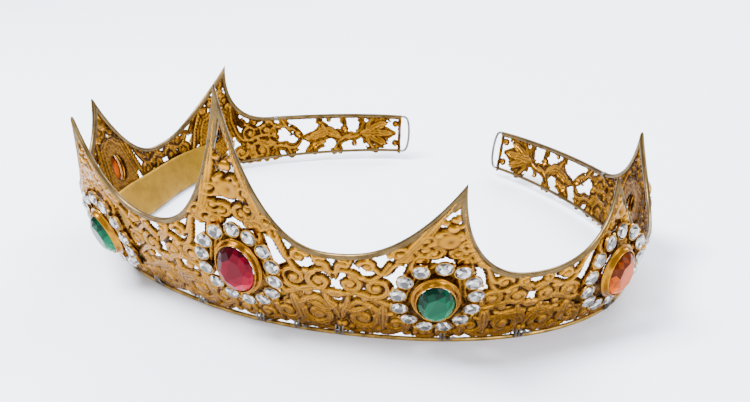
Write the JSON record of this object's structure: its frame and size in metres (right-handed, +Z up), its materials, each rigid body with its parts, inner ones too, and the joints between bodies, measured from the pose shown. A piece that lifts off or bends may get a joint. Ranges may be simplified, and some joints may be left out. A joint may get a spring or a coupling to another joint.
{
  "type": "tiara",
  "caption": "Open-backed gilt tiara of pierced and stamped sheet, its concave peaks set with oval stones in halos of small white stones.",
  "frame": {"origin": "middle of the box in plan, on the surface that the front wire rests on", "axes": "+X towards the wearer's left, +Y towards the open back, +Z up"},
  "size_m": [0.1666, 0.1456, 0.0664],
  "materials": {
    "gilt_brass": "stamped, gilt, worn",
    "matte_gilt": "matte gilt",
    "base_brass": "drawn wire, tarnished",
    "ruby_glass": "cut and polished",
    "green_glass": "cut and polished",
    "amber_glass": "cut and polished",
    "pale_blue_glass": "cut and polished",
    "white_paste": "cut paste stones in cups"
  },
  "bodies": {
    "root": {"gallery": "gilt_brass", "lining_band": "matte_gilt", "base_wire": "base_brass", "halo_right_rear": "white_paste", "collet_right_rear": "gilt_brass", "stone_right_rear": "pale_blue_glass", "halo_right_side": "white_paste", "collet_right_side": "gilt_brass", "stone_right_side": "amber_glass", "halo_right_front": "white_paste", "collet_right_front": "gilt_brass", "stone_right_front": "green_glass", "halo_centre": "white_paste", "collet_centre": "gilt_brass", "stone_centre": "ruby_glass", "halo_left_front": "white_paste", "collet_left_front": "gilt_brass", "stone_left_front": "green_glass", "halo_left_side": "white_paste", "collet_left_side": "gilt_brass", "stone_left_side": "amber_glass", "halo_left_rear": "white_paste", "collet_left_rear": "gilt_brass", "stone_left_rear": "pale_blue_glass"}
  },
  "joints": []
}
